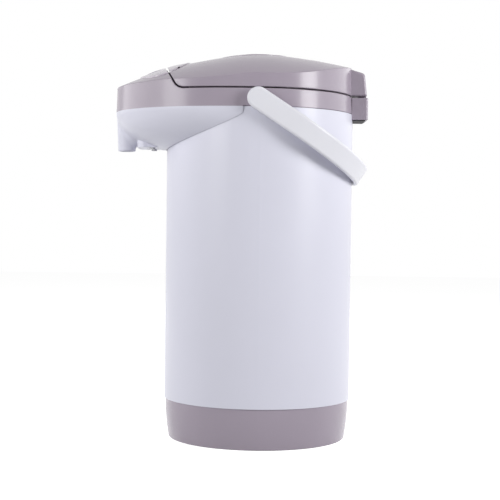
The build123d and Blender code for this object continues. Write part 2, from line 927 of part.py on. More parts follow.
def make_spout_cover():
    body = bowl(0) - block(-wide, wide, -cover_end, wide, 0, sky)
    body -= rod(shell_radius + cover_seam, 0, sky)
    body += nozzle_sleeve()
    roots = []
    for edge in body.edges():
        box = edge.bounding_box()
        beside = box.max.X < nozzle_root_radius + 1 and box.min.Y < -nozzle_reach - nozzle_tip_radius + touch
        if beside and box.min.Z > nozzle_tip_z + 1 and box.max.Z < shell_top - 1:
            roots.append(edge)
    body = fillet(roots, nozzle_blend)
    body = fillet([e for e in body.edges() if e.bounding_box().max.Z < nozzle_tip_z + 1], insert_radius / 8)
    body -= bowl(cover_wall)
    body -= rod(insert_radius + touch, 0, sky, 0, -nozzle_reach)
    body -= under_cover_room(-touch, under_cover_z - 5)
    return max(body.solids(), key=lambda s: s.volume)


def nozzle_sleeve():
    tall = shell_top - nozzle_tip_z
    cone = Cone(nozzle_tip_radius, nozzle_root_radius, tall, align=(Align.CENTER, Align.CENTER, Align.MIN))
    return Pos(0, -nozzle_reach, nozzle_tip_z) * cone


def make_nozzle():
    """Spout insert in the cover's sleeve."""
    low = nozzle_tip_z + slip
    body = rod(insert_radius, low, low + insert_length, 0, -nozzle_reach)
    body = fillet(body.edges().group_by(Axis.Z)[0], insert_radius / 10)
    return body - rod(nozzle_bore, low - 1, sky, 0, -nozzle_reach)


def under_screw_spots():
    y = -under_cover_front + under_cover_length - under_screw_inset
    return [(-under_screw_x, y), (under_screw_x, y)]


def make_under_cover():
    tray = under_cover_room(0) - Pos(0, 0, under_cover_wall) * under_cover_room(under_cover_wall)
    top = under_cover_z + under_boss_height
    for x, y in under_screw_spots():
        tray += rod(under_boss_radius, under_cover_z, top, x, y)
        tray -= rod(screw_radius, under_cover_z - 5, top - 1, x, y)
    return tray


def make_under_cover_screws():
    low, top = under_cover_z - 1.5, under_cover_z + under_boss_height - 2
    screws = []
    for x, y in under_screw_spots():
        head = rod(under_screw_head, low, under_cover_z, x, y)
        shank = rod(screw_radius - running, low + 1, top, x, y)
        screws.append(head + shank - screw_drive(low, x, y))
    return group(screws)


# --- control panel on the hood ---
def panel_place():
    """Plane of the control panel, square to the ridge."""
    slope = atan2(ridge_height(panel_y + 1) - ridge_height(panel_y - 1), 2)
    normal = (0, -sin(slope), cos(slope))
    return Plane(origin=(0, panel_y, ridge_height(panel_y)), x_dir=(1, 0, 0), z_dir=normal)


def panel_rod(radius, low, high, x, y):
    """Round bar square to the panel, at panel coordinates."""
    return panel_place().location * rod(radius, low, high, x, y)


button_spots = {
    "dispense_button": (0.0, 0.0, dispense_radius),
    "reboil_button": (-small_button_x, small_button_y, small_button_radius),
    "lock_button": (small_button_x, small_button_y, small_button_radius),
}
lens_spots = [(i * lens_spacing, -dispense_radius - lens_gap) for i in (-1, 0, 1)]


@cache
def oval_skin(inset):
    """Raised skin on the control oval, before the lid's seam parts it."""
    skin = oval(inset, shell_top, sky) & under(oval_rise)
    rims = [e for e in skin.edges() if e.bounding_box().min.Z > shell_top + 1]
    return fillet(rims, oval_round) - under(oval_rise - oval_thickness)


def make_control_panel():
    skin = oval_skin(0) - lid_block(lid_gap)
    for x in (-panel_post_x, panel_post_x):
        post = panel_rod(panel_post_radius, -panel_board_depth, -0.5, x, panel_post_y)
        skin += post & under(0)
    for x, y, radius in button_spots.values():
        skin -= panel_rod(radius + slip, -40, 20, x, y)
    for x, y in lens_spots:
        skin -= panel_rod(lens_radius + running, -40, 20, x, y)
    return max(skin.solids(), key=lambda s: s.volume)


def make_button(name):
    """Cap whose top follows the head's rounding."""
    x, y, radius = button_spots[name]
    low = -panel_board_depth + membrane_height + button_travel + slip
    above = panel_rod(2 * radius, -40, 40, x, y) - under(button_rise)
    return panel_rod(radius, low, 20, x, y) - above


def make_indicator_lenses():
    lenses = []
    for x, y in lens_spots:
        bar = panel_rod(lens_radius, -20, 20, x, y) & under(oval_rise + 0.2)
        lenses.append(bar - under(oval_rise - oval_thickness))
    return group(lenses)


def make_button_membrane():
    low = -panel_board_depth
    pad = None
    for x, y, radius in button_spots.values():
        dome = rod(radius, low, low + membrane_height, x, y)
        pad = dome if pad is None else pad + dome
    pad += block(-small_button_x, small_button_x, -1, 4, low, low + membrane_web)
    return panel_place().location * pad


def make_control_board():
    low = -panel_board_depth - board_thickness
    half = panel_board_half
    board = block(-half, half, -panel_board_front, panel_board_rear, low, -panel_board_depth)
    return panel_place().location * board


# --- hinge ---
def hinge_z():
    return collar_deck + hinge_z_rise


def make_hinge_base():
    half = hinge_width / 2
    low = shell_top - hinge_drop
    high = collar_deck - 0.5
    body = slab(half, hinge_front, hinge_base_rear, low, high)
    body = fillet(body.edges().filter_by(Axis.Z).group_by(Axis.Y)[-1], hinge_side_round)
    body = fillet(body.edges().group_by(Axis.Z)[0], head_round)
    body -= rod(shell_radius + touch, 0, sky)
    neck = slab(knuckle_width / 2, hinge_y - knuckle_radius, hinge_y + knuckle_radius, high - 1, hinge_z())
    knuckle = cross_bar(knuckle_radius, -knuckle_width / 2, knuckle_width / 2, hinge_y, hinge_z())
    body += neck + knuckle
    return body - cross_bar(hinge_pin_radius, -wide, wide, hinge_y, hinge_z())


def make_hinge_under_cap():
    high = shell_top - hinge_drop
    half = hinge_width / 2 - hinge_side_round
    cap = slab(half, hinge_front, hinge_base_rear - hinge_side_round, high - hinge_cap_height, high)
    return cap - rod(shell_radius + touch, 0, sky)


def make_hinge_pin():
    half = hinge_width / 2 - hinge_pin_inset
    return cross_bar(hinge_pin_radius, -half, half, hinge_y, hinge_z())


def hinge_lid_block():
    """Upper hinge block, which is moulded with the lid."""
    half = hinge_width / 2
    top = collar_deck + hinge_top_rise
    fall = hinge_top_fall * (hinge_rear - hinge_front)
    side = Polyline(
        (0, hinge_front, lid_bottom),
        (0, hinge_rear, lid_bottom),
        (0, hinge_rear - hinge_lean, top - fall),
        (0, hinge_front, top),
        close=True,
    )
    body = extrude(Face(Wire(side.edges())), amount=half, dir=(1, 0, 0), both=True)
    across = body.edges().filter_by(Axis.X)
    body = fillet(across.group_by(Axis.Z)[-2], hinge_round)
    boxes = [(e, e.bounding_box()) for e in body.edges()]
    rims = [e for e, box in boxes if box.max.Y > shell_radius + 3 and box.size.X < 1]
    body = fillet(rims, hinge_side_round)
    low_rear = body.edges().filter_by(Axis.X).group_by(Axis.Z)[0].sort_by(Axis.Y)[-1]
    body = fillet(low_rear, head_round)
    room = knuckle_radius + 0.5
    slot_half = knuckle_width / 2 + slip
    slot = slab(slot_half, hinge_y - room, hinge_rear + 5, lid_bottom - 5, hinge_z())
    slot += slab(slot_half, hinge_y, hinge_rear + 5, hinge_z() - 1, hinge_z() + room)
    slot += cross_bar(room, -slot_half, slot_half, hinge_y, hinge_z())
    hole = hinge_width / 2 - hinge_pin_inset + slip
    return body - slot - cross_bar(hinge_pin_radius + running, -hole, hole, hinge_y, hinge_z())


# --- lid ---
def press_well(radius, low, high):
    return rod(radius, low, high, 0, press_y)


lid_screw_spots = [(sx * lid_screw_x, y) for sx in (-1, 1) for y in lid_screw_ys]


def make_lid_shell():
    low = lid_bottom
    outer = head_prism(0, low, sky) & under(0) & lid_block(0)
    outer = fillet(outer.edges(), head_round)
    inner = head_prism(head_wall, low - 5, sky) & under(-head_wall) & lid_block(-head_wall)
    floor = slab(wide, -wide, wide, low - 5, low + head_wall + 1)
    inner += head_prism(head_wall, low - 5, low + head_wall + 2) & lid_block(-head_wall) & floor
    opening = head_prism(head_wall, low - 5, low + head_wall + 2) & slab(
        wide, -lid_front_reach + lid_front_round, wide, low - 5, low + head_wall + 1
    )
    body = outer - inner - opening
    rear_room = head_prism(head_wall, low - 5, sky)
    body += hinge_lid_block() - rear_room
    plate_top = low + lid_plate_wall + touch
    well = press_well(press_radius + slip + well_wall, plate_top, sky)
    body += well & under(0)
    body -= press_well(press_radius + slip, 0, sky)
    for x, y in lid_screw_spots:
        body += rod(boss_radius, plate_top, sky, x, y) & under(-1)
        body -= rod(screw_radius, plate_top - 3, plate_top + 10, x, y)
    tub = (oval(-2, low, sky) & lid_block(0)) & under(-1) - under(-tub_depth - 2)
    body += tub & under(-1)
    body -= (oval(-slip, low, sky) - under(-tub_depth)) & slab(wide, -wide, 0, low, sky)
    body += seam_ribs(-1, seam_rib, lid_rib_x) & under(-seam_rib_drop)
    body += lever_ears()
    half = lever_pin_half + slip
    body -= cross_bar(lever_pin_radius + running / 2, -half, half, lever_y, lever_z)
    body -= lever_slot()
    body -= latch_tunnel()
    vent = rod(vent_radius + touch, low, sky, 0, vent_y)
    return body - vent


def lever_ears():
    """Ears under the lever's tub that hold its pin."""
    ears = None
    for side in (-1, 1):
        x0, x1 = sorted((side * (lever_pin_half - pin_ear_width), side * lever_pin_half))
        front, rear = lever_y - pin_ear_half, lever_y + pin_ear_half
        ear = block(x0, x1, front, rear, lever_z - pin_ear_half, sky) & under(-tub_depth - 0.5)
        ears = ear if ears is None else ears + ear
    return ears


def arm_line(z):
    """Middle of the lever's arm at a height. It leans like the lid's front."""
    return lever_y + (lever_z - z) * tan(radians(lid_front_lean))


def arm_band(front, rear, low, high, half):
    """Leaning block along the arm's line."""
    corners = [
        (0, arm_line(low) - front, low),
        (0, arm_line(low) + rear, low),
        (0, arm_line(high) + rear, high),
        (0, arm_line(high) - front, high),
    ]
    side = Polyline(*corners, close=True)
    return extrude(Face(Wire(side.edges())), amount=half, dir=(1, 0, 0), both=True)


def lever_slot():
    half = lever_pin_half - 3
    lower = arm_band(arm_room_front, arm_room_rear, lid_bottom + latch_thickness, lever_z, half)
    upper = slab(half, lever_y - arm_room_front - 1, lever_y + arm_room_rear, lever_z - arm_room_front, sky)
    return (lower + upper) & under(-1)


def latch_low():
    return lid_bottom + lid_plate_wall + slip


def latch_front():
    """Where the latch's nose ends, from the axis."""
    lean = tan(radians(lid_front_lean))
    return lid_front_reach + (latch_low() - lid_bottom) * lean + latch_nose


def latch_tunnel():
    half = latch_width / 2 + slip
    low, high = latch_low() - slip, latch_low() + latch_thickness + slip
    return slab(half, -latch_front() - 5, -latch_front() + 12, low, high)


def arm_tip_y():
    return arm_line(latch_low() + latch_thickness + 2)


def make_lid_latch():
    front = -latch_front()
    body = slab(latch_width / 2, front, front + latch_length, latch_low(), latch_low() + latch_thickness)
    body = chamfer(body.edges().filter_by(Axis.X).group_by(Axis.Y)[0].sort_by(Axis.Z)[0], latch_bevel)
    room = lever_arm_depth / 2 + latch_room
    half = lever_arm_width / 2 + 0.5
    return body - slab(half, arm_tip_y() - room, arm_tip_y() + room, latch_low() + 1, sky)


def make_lid_lever():
    skin = oval_skin(lever_gap) & lid_block(-lever_trim)
    skin = max(skin.solids(), key=lambda s: s.volume)
    arm_low = latch_low() + 1.3
    elbow = latch_low() + latch_thickness + 1.5
    depth, half = lever_arm_depth / 2, lever_arm_width / 2
    legs = slab(half, arm_tip_y() - depth, arm_tip_y() + depth, arm_low, elbow + 1)
    legs += arm_band(depth, depth, elbow, lever_z, half)
    legs += slab(half, lever_y - depth, lever_y + depth, lever_z - 2, sky)
    for side in (-1, 1):
        x0, x1 = sorted((side * lever_ear_x, side * (lever_ear_x + lever_ear)))
        legs += block(x0, x1, lever_y - lever_ear, lever_y + lever_ear, lever_z - lever_ear, sky)
    body = skin + (legs & under(oval_rise - 0.5))
    return body - cross_bar(lever_pin_radius + running, -wide, wide, lever_y, lever_z)


def make_lever_pin():
    return cross_bar(lever_pin_radius, -lever_pin_half, lever_pin_half, lever_y, lever_z)


def make_lid_under_cover():
    low, high = lid_bottom, lid_bottom + lid_plate_wall
    plate = head_prism(head_wall + touch, low, high)
    plate &= slab(wide, -lid_front_reach + lid_front_round + touch, wide, low - 5, sky)
    plug = rod(plug_radius, plug_bottom, low)
    body = plate + plug - rod(plug_radius - plug_wall, plug_bottom + plug_wall, sky)
    body += ring(duct_radius, duct_radius - duct_wall, plug_bottom, vent_floor(), 0, vent_y)
    body -= rod(duct_radius - duct_wall, 0, sky, 0, vent_y)
    for x, y in lid_screw_spots:
        body += rod(boss_radius, plug_bottom + 1, high, x, y) & rod(plug_radius, 0, sky)
        body -= rod(screw_radius + touch, 0, sky, x, y)
        body -= rod(screw_head_radius + touch, 0, high - 1, x, y)
    return body


def vent_floor():
    return ridge_height(vent_y) - vent_depth


def make_lid_screws():
    high = lid_bottom + lid_plate_wall
    screws = []
    for x, y in lid_screw_spots:
        low = high - 1 - screw_head_height
        head = rod(screw_head_radius, low, high - 1, x, y)
        shank = rod(screw_radius - running, high - 1.5, high + 8, x, y)
        screws.append(head + shank - screw_drive(low, x, y))
    return group(screws)


def make_inner_lid():
    radius = plug_radius - seal_width - touch
    high = plug_bottom - touch
    plate = rod(radius, high - inner_lid_wall, high)
    plate += ring(radius - 2, radius - 3, high - inner_lid_rim, high)
    plate += rod(inner_lid_boss, high - 2.2, high)
    return plate - rod(duct_radius - 2, 0, sky, 0, vent_y)


def make_lid_seal():
    high = plug_bottom - touch
    low = flange_top + slip
    seal = ring(plug_radius, plug_radius - seal_width, low, high)
    return seal - ring(plug_radius + 1, plug_radius - 1.2, low + 0.9, high - 0.8)


def make_steam_vent():
    bottom = vent_floor() + touch
    cap = rod(vent_radius, bottom, sky, 0, vent_y) & under(0.5)
    cap -= rod(vent_radius - vent_wall, bottom - 1, bottom + 3.5, 0, vent_y)
    for i in range(-2, 3):
        x = i * vent_slot_pitch
        front, rear = vent_y - vent_slot_reach, vent_y + vent_slot_reach
        cap -= block(x - vent_slot_half, x + vent_slot_half, front, rear, bottom, sky)
    return cap


# --- manual air pump ---
def press_top():
    return ridge_height(press_y)


def bellows_high():
    return press_top() - press_drop


def make_press_plate():
    body = press_well(press_radius, press_skirt_z(), sky) & under(press_rise)
    hollow = press_well(press_radius - 2, 0, sky) & under(press_rise - press_wall)
    body -= hollow
    post = press_well(bellows_radius - bellows_pleat, bellows_high(), sky) & under(-1)
    return body + post


def press_skirt_z():
    return press_top() - press_skirt


def plug_floor():
    return plug_bottom + plug_wall + touch


def make_air_bellows():
    low, high = plug_floor(), bellows_high() - touch
    pitch = (high - low) / bellows_pleats
    outer, inner = [], []
    for i in range(bellows_pleats):
        outer.append((bellows_radius - bellows_pleat, low + pitch * i))
        outer.append((bellows_radius, low + pitch * (i + 0.5)))
        inner.append((bellows_radius - bellows_pleat - bellows_wall, low + pitch * i))
        inner.append((bellows_radius - bellows_wall, low + pitch * (i + 0.5)))
    outer.append((bellows_radius - bellows_pleat, high))
    inner.append((bellows_radius - bellows_pleat - bellows_wall, high))
    return turned(outer + inner[::-1]).moved(Location((0, press_y, 0)))


def make_pump_spring():
    low, high = plug_floor() + spring_wire, bellows_high() - touch - spring_wire
    path = Helix((high - low) / spring_turns, high - low, spring_radius)
    start = Plane(origin=path @ 0, z_dir=path % 0)
    coil = sweep(start * Circle(spring_wire), path=path, is_frenet=True)
    return Pos(0, press_y, low) * coil


# --- handle ---
def handle_z():
    return shell_top + handle_rise


def handle_place(shape):
    """From the handle's own plane to its place at rest."""
    return Pos(0, handle_y, handle_z()) * Rot(-handle_drop, 0, 0) * shape


def handle_reach():
    """Leaves the rest gap between the lowered handle's lower inner edge and the shell."""
    drop = radians(handle_drop)
    edge = (handle_band / 2 - handle_edge) * sin(drop)
    level = shell_radius + handle_rest_gap - handle_y + handle_edge + edge
    return level / cos(drop) - handle_edge + handle_thickness


def bail_plan(half_width, reach):
    start = -handle_band
    edges = [
        *Line((half_width, start), (half_width, handle_straight)).edges(),
        *EllipticalCenterArc(
            (0, handle_straight), half_width, reach - handle_straight, 0, arc_size=180
        ).edges(),
        *Line((-half_width, handle_straight), (-half_width, start)).edges(),
        *Line((-half_width, start), (half_width, start)).edges(),
    ]
    return Face(Wire(edges))


def make_handle():
    half = handle_band / 2
    outer = extrude(bail_plan(handle_half_width, handle_reach()), amount=half, both=True)
    inner = extrude(
        bail_plan(handle_half_width - handle_thickness, handle_reach() - handle_thickness),
        amount=handle_band,
        both=True,
    )
    band = outer - inner
    ends = cross_bar(half, -wide, wide, 0, 0) + slab(wide, 0, wide, -half, half)
    band = band & ends
    rims = band.edges().filter_by(lambda e: e.length > 2 * handle_band)
    return handle_place(fillet(rims, handle_edge))


def make_handle_studs():
    inner = handle_half_width - handle_thickness
    studs = []
    for side in (-1, 1):
        ends = sorted((side * (shell_radius - stud_depth), side * inner))
        pin = cross_bar(stud_radius, *ends, 0, 0)
        ends = sorted((side * (shell_radius + slip), side * inner))
        studs.append(handle_place(pin + cross_bar(stud_flange_radius, *ends, 0, 0)))
    return group(studs)


makers = {
    "base_housing": make_base_housing,
    "bottom_cover": make_bottom_cover,
    "foot_ring": make_foot_ring,
    "bottom_screws": make_bottom_screws,
    "power_inlet": make_power_inlet,
    "inlet_pins": make_inlet_pins,
    "power_board": make_power_board,
    "board_components": make_board_components,
    "boil_heater": make_boil_heater,
    "warm_heater": make_warm_heater,
    "thermostat": make_thermostat,
    "thermal_fuse": make_thermal_fuse,
    "pot_support": make_pot_support,
    "inner_pot": make_inner_pot,
    "pot_strainer": make_pot_strainer,
    "pot_gasket": make_pot_gasket,
    "tie_rods": make_tie_rods,
    "tie_nuts": make_tie_nuts,
    "pump_motor": make_pump_motor,
    "pump_housing": make_pump_housing,
    "pump_impeller": make_pump_impeller,
    "inlet_hose": make_inlet_hose,
    "outlet_hose": make_outlet_hose,
    "level_tube": make_level_tube,
    "tube_sleeves": make_tube_sleeves,
    "tube_bracket": make_tube_bracket,
    "level_float": make_level_float,
    "outlet_pipe": make_outlet_pipe,
    "outer_shell": make_outer_shell,
    "level_window": make_level_window,
    "collar": make_collar,
    "spout_cover": make_spout_cover,
    "nozzle": make_nozzle,
    "spout_under_cover": make_under_cover,
    "under_cover_screws": make_under_cover_screws,
    "control_panel": make_control_panel,
    "indicator_lenses": make_indicator_lenses,
    "button_membrane": make_button_membrane,
    "control_board": make_control_board,
    "hinge_base": make_hinge_base,
    "hinge_under_cap": make_hinge_under_cap,
    "hinge_pin": make_hinge_pin,
    "lid_shell": make_lid_shell,
    "lid_under_cover": make_lid_under_cover,
    "lid_screws": make_lid_screws,
    "inner_lid": make_inner_lid,
    "lid_seal": make_lid_seal,
    "steam_vent": make_steam_vent,
    "lid_lever": make_lid_lever,
    "lever_pin": make_lever_pin,
    "lid_latch": make_lid_latch,
    "press_plate": make_press_plate,
    "air_bellows": make_air_bellows,
    "pump_spring": make_pump_spring,
    "handle": make_handle,
    "handle_studs": make_handle_studs,
}


def main():
    os.makedirs("parts", exist_ok=True)
    for name, maker in makers.items():
        export_step(maker(), f"parts/{name}.step")
    for name in button_spots:
        export_step(make_button(name), f"parts/{name}.step")
    print("lid hinge", hinge_y, hinge_z(), "handle", handle_y, handle_z())
    print("lever", lever_y, lever_z, "arm to latch", lever_z - latch_low() - latch_thickness + 1.25)
    print("panel normal", tuple(panel_place().z_dir))
    print("bellows foot", plug_floor())


main()
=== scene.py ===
import json
from math import cos, pi, radians, sin

import bmesh
import bpy
from mathutils import Matrix, Vector
from mathutils.bvhtree import BVHTree

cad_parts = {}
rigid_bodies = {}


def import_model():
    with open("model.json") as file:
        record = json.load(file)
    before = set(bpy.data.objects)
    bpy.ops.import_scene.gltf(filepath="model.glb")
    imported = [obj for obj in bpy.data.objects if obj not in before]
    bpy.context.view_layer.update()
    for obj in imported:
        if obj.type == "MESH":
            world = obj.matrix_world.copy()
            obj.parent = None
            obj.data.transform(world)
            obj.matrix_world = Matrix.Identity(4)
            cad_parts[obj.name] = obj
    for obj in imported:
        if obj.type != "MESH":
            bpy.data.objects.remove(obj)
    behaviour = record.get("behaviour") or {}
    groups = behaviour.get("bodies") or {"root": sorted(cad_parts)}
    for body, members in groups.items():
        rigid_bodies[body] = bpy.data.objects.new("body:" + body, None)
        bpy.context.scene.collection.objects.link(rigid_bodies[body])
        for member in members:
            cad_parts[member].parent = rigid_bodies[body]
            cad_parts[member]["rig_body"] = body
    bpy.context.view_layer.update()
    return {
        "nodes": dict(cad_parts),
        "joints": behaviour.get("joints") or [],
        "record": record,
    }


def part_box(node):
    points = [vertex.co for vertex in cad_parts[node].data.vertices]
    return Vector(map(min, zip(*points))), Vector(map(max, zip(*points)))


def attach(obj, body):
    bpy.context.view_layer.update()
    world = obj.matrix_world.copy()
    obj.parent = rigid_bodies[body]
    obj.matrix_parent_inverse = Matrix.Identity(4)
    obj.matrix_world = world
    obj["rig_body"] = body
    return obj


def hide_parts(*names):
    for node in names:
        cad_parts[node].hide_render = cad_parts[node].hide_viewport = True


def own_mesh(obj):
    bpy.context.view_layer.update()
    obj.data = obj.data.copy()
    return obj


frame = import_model()
cad = frame["nodes"]
slot_of = {part["node"]: part["material_slot"] for part in frame["record"]["subparts"]}

# --- camera, in metres and degrees: it looks at the pot's side, almost level ---
camera_place = (1.160, -0.0079, 0.1977)
camera_lens = 87.9
camera_sensor = 36.0
camera_near, camera_far = 0.01, 50.0
camera_pitch = -1.04
camera_roll = 0.73

# --- light: radiance of the boxes and of the room, where 1 is white ---
room_light = 0.28
floor_half = 4.0
floor_seen = 0.9  # shade of the floor where it is seen
floor_glow = 0.72  # what it glows there besides, up to white
floor_bounce = 0.58  # how much light the floor gives back to the pot
# Upright boxes: azimuth from +X, distance, height of the middle, width and height, radiance.
soft_boxes = {
    "key_box": (60, 1.3, 0.66, (0.51, 0.62), 13.6),
    "side_box": (-50, 1.3, 0.66, (0.46, 0.62), 8.4),
    "front_fill": (5, 1.4, 0.90, (1.6, 0.7), 0.10),
    "left_fill": (-92, 1.5, 0.62, (1.8, 0.40), 3.3),
    "right_fill": (112, 1.5, 0.60, (2.2, 0.36), 1.35),
}
# Boxes behind the pot light its edges, but don't mirror in it.
back_boxes = {
    "back_left_box": (-150, 2.0, 0.60, (1.0, 1.1), 1.5),
    "back_right_box": (150, 2.0, 0.60, (1.0, 1.1), 1.0),
}
# The box over the pot: its place, the point it faces, its size and its radiance.
top_box = ((0.1, 0, 1.7), (0, 0, 0.3), (1.2, 1.2), 0.04)

# --- surfaces ---
drift_scale = 14.0  # slow change of colour
drift_detail = 4.0
drift_span = (0.3, 0.7)
grain_detail = 3.0
grain_relief = 0.0002
gloss_spread = 0.15  # how far the roughness strays, as a share of itself
coat_rough = 0.13
soft_reach = (0.004, 0.004, 0.005)  # how far light goes under a soft surface
brushing = (1, 1, 30)  # draws the grain out into fine lines

# Each finish: its colour, roughness, grain per metre, relief, colour drift and what else it has.
finishes = {
    "body_paint": dict(
        colour=(213, 213, 226), rough=0.36, grain=700, bump=0.05, vary=0.008, coat=0.05, shine=0.4
    ),
    "white_plastic": dict(
        colour=(213, 213, 226), rough=0.36, grain=1100, bump=0.05, vary=0.008, coat=0.05, shine=0.4
    ),
    "taupe_plastic": dict(
        colour=(157, 147, 160), rough=0.26, grain=1300, bump=0.05, vary=0.012, coat=0.14, shine=0.32
    ),
    "handle_plastic": dict(
        colour=(222, 222, 229), rough=0.36, grain=1300, bump=0.10, vary=0.010, soft=0.03
    ),
    "panel_plastic": dict(
        colour=(186, 178, 189), rough=0.28, grain=1200, bump=0.05, vary=0.012, coat=0.3
    ),
    "button_plastic": dict(
        colour=(148, 140, 152), rough=0.40, grain=1500, bump=0.12, vary=0.02
    ),
    "cap_plastic": dict(
        colour=(34, 32, 36), rough=0.60, grain=1500, bump=0.15, vary=0.06, shine=0.2
    ),
    "lens_plastic": dict(
        colour=(220, 128, 56), rough=0.12, grain=300, bump=0.02, vary=0.03, clear=0.5
    ),
    "window_plastic": dict(
        colour=(222, 224, 233), rough=0.10, grain=300, bump=0.01, vary=0.01, clear=0.55
    ),
    "stainless": dict(
        colour=(222, 222, 224), rough=0.28, grain=60, bump=0.10, vary=0.03, metal=True
    ),
    "steel_fastener": dict(
        colour=(182, 182, 184), rough=0.30, grain=60, bump=0.10, vary=0.05, metal=True
    ),
    "heater_steel": dict(
        colour=(150, 145, 140), rough=0.40, grain=60, bump=0.10, vary=0.08, metal=True
    ),
    "brass_pin": dict(
        colour=(206, 178, 110), rough=0.25, grain=60, bump=0.10, vary=0.05, metal=True
    ),
    "silicone": dict(
        colour=(226, 226, 222), rough=0.45, grain=900, bump=0.08, vary=0.02, soft=0.15
    ),
    "foot_rubber": dict(
        colour=(62, 61, 64), rough=0.75, grain=1600, bump=0.35, vary=0.1
    ),
    "black_plastic": dict(
        colour=(40, 40, 43), rough=0.50, grain=1500, bump=0.2, vary=0.08
    ),
    "inner_plastic": dict(
        colour=(219, 217, 215), rough=0.40, grain=1200, bump=0.08, vary=0.015
    ),
    "circuit_board": dict(
        colour=(34, 92, 54), rough=0.35, grain=500, bump=0.06, vary=0.12, coat=0.3
    ),
    "float_plastic": dict(
        colour=(190, 40, 32), rough=0.30, grain=900, bump=0.05, vary=0.03
    ),
}

# Cell patterns painted over a finish: cells per metre, the band where the paint fades out,
# its colour, and the kind of cell. They are heat marks, dust, tracks and tinned pads.
patterns = [
    ("heater_steel", 40, (0.1, 0.6), (158, 140, 112), "F1", "EUCLIDEAN"),
    ("foot_rubber", 900, (0.06, 0.12), (92, 90, 94), "F1", "EUCLIDEAN"),
    ("circuit_board", 160, (0.03, 0.06), (66, 128, 78), "DISTANCE_TO_EDGE", "EUCLIDEAN"),
    ("circuit_board", 220, (0.10, 0.16), (196, 190, 170), "F1", "CHEBYCHEV"),
]

# --- printed marks, in metres ---
print_height = 0.00012
print_sink = 0.00006
print_weld = print_sink / 10
print_aim = 0.02  # how far in front of a node its print is aimed from
mark_unit = 1000  # marks are drawn in millimetres

# --- printed marks, in millimetres ---
dash_steps = 6
ring_steps = 72
ring_gap = 1.4  # from a button's edge to the middle of its ring
ring_width = 0.4
scale_right = 6.6  # right ends of the level scale's ticks
whole_tick, half_tick = 4.6, 3.0
whole_width, half_width = 1.1, 0.8
numeral_size = 10.0
numeral_left = 4.2
last_half_litre = 4

# --- inner pot, for the level scale ---
pot_flange_width = 0.0065  # flange's rim outside the pot's bore
pot_port_length = 0.007  # port under the pot's floor
litre = 0.001  # cubic metres


# --- small helpers ---
def link(tree, a, out, b, into):
    tree.links.new(a.outputs[out], b.inputs[into])


def put(obj):
    bpy.context.scene.collection.objects.link(obj)
    return obj


def linear(channel):
    share = channel / 255.0
    return share / 12.92 if share <= 0.04045 else ((share + 0.055) / 1.055) ** 2.4


def srgb(r, g, b):
    return (linear(r), linear(g), linear(b), 1.0)


def grey(share):
    return (share, share, share, 1)


def joint_called(name):
    return next(j for j in frame["joints"] if j["name"] == name)


def middle_of(node):
    low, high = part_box(node)
    return (low + high) / 2


# --- camera and lights ---
def add_camera():
    data = bpy.data.cameras.new("camera")
    data.lens = camera_lens
    data.sensor_width = camera_sensor
    data.clip_start = camera_near
    data.clip_end = camera_far
    camera = put(bpy.data.objects.new("camera", data))
    from_side = Matrix(((0, 0, 1), (1, 0, 0), (0, 1, 0))).to_4x4()  # from +X, with +Z up
    pitch = Matrix.Rotation(radians(camera_pitch), 4, "X")
    roll = Matrix.Rotation(radians(camera_roll), 4, "Z")
    camera.matrix_world = Matrix.Translation(camera_place) @ from_side @ pitch @ roll
    bpy.context.scene.camera = camera


def add_area(name, place, aim, size, glow):
    """Soft light whose radiance is glow."""
    data = bpy.data.lights.new(name, "AREA")
    data.shape = "RECTANGLE"
    data.size, data.size_y = size
    data.energy = glow * pi * size[0] * size[1]
    lamp = put(bpy.data.objects.new(name, data))
    lamp.location = place
    lamp.rotation_euler = (Vector(aim) - Vector(place)).to_track_quat("-Z", "Y").to_euler()
    lamp.visible_camera = False
    return lamp


def add_upright(name, azimuth, distance, height, size, glow):
    turn = radians(azimuth)
    place = (distance * cos(turn), distance * sin(turn), height)
    return add_area(name, place, (0, 0, height), size, glow)


def seen_straight(tree):
    """1 for rays that show the background: straight, mirrored or through glass."""
    rays = tree.nodes.new("ShaderNodeLightPath")
    seen, out = rays, "Is Camera Ray"
    for also in ("Is Glossy Ray", "Is Transmission Ray"):
        either = tree.nodes.new("ShaderNodeMath")
        either.operation = "MAXIMUM"
        link(tree, seen, out, either, 0)
        link(tree, rays, also, either, 1)
        seen, out = either, 0
    return seen


def mix_seen(tree, unseen, seen, out):
    """Shows one shader to the rays that show the background and another to the rest."""
    mix = tree.nodes.new("ShaderNodeMixShader")
    link(tree, seen_straight(tree), 0, mix, 0)
    link(tree, unseen, 0, mix, 1)
    link(tree, seen, 0, mix, 2)
    link(tree, mix, 0, out, 0)


def plain_shader(tree, kind, **values):
    node = tree.nodes.new(kind)
    for socket, value in values.items():
        node.inputs[socket].default_value = value
    return node


def add_world():
    world = bpy.data.worlds.new("studio")
    bpy.context.scene.world = world
    world.use_nodes = True
    tree = world.node_tree
    tree.nodes.clear()
    room = plain_shader(tree, "ShaderNodeBackground", Color=grey(1), Strength=room_light)
    white = plain_shader(tree, "ShaderNodeBackground", Color=grey(1), Strength=1.0)
    mix_seen(tree, room, white, tree.nodes.new("ShaderNodeOutputWorld"))


def floor_material():
    mat = bpy.data.materials.new("floor_white")
    mat.use_nodes = True
    tree = mat.node_tree
    tree.nodes.clear()
    shade = plain_shader(tree, "ShaderNodeBsdfDiffuse", Color=grey(floor_seen))
    glow = plain_shader(tree, "ShaderNodeEmission", Strength=floor_glow)
    bounce = plain_shader(tree, "ShaderNodeBsdfDiffuse", Color=grey(floor_bounce))
    lit = tree.nodes.new("ShaderNodeAddShader")
    link(tree, shade, 0, lit, 0)
    link(tree, glow, 0, lit, 1)
    mix_seen(tree, bounce, lit, tree.nodes.new("ShaderNodeOutputMaterial"))
    return mat


